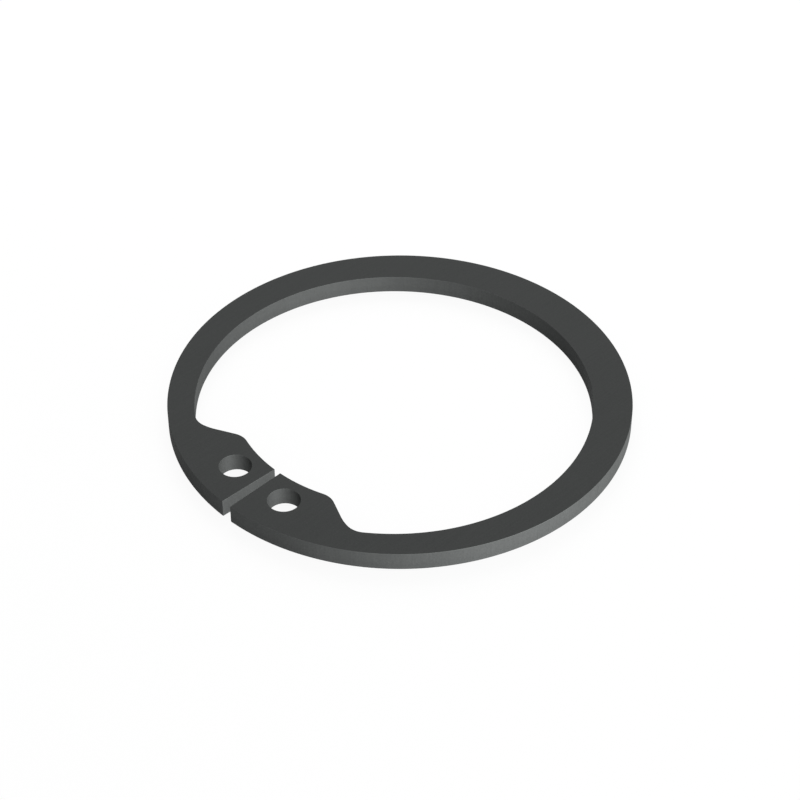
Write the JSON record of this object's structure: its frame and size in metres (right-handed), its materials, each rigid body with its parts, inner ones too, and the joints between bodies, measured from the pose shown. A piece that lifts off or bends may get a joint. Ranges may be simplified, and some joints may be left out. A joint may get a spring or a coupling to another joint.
{
  "type": "circlip retaining ring",
  "caption": "Flat spring steel retaining ring for a bore groove: an open band, tapered towards the gap, with inward lugs and plier holes.",
  "frame": {"origin": "centre of the rim's circle, on the ring's underside", "axes": "+Z along the ring's axis, away from the surface it lies on; -Y from the centre towards the gap; +X to the right of the gap"},
  "size_m": [0.0364, 0.0364, 0.0015],
  "materials": {
    "blackened_steel": "satin"
  },
  "bodies": {
    "root": {"retaining_ring": "blackened_steel"}
  },
  "joints": []
}
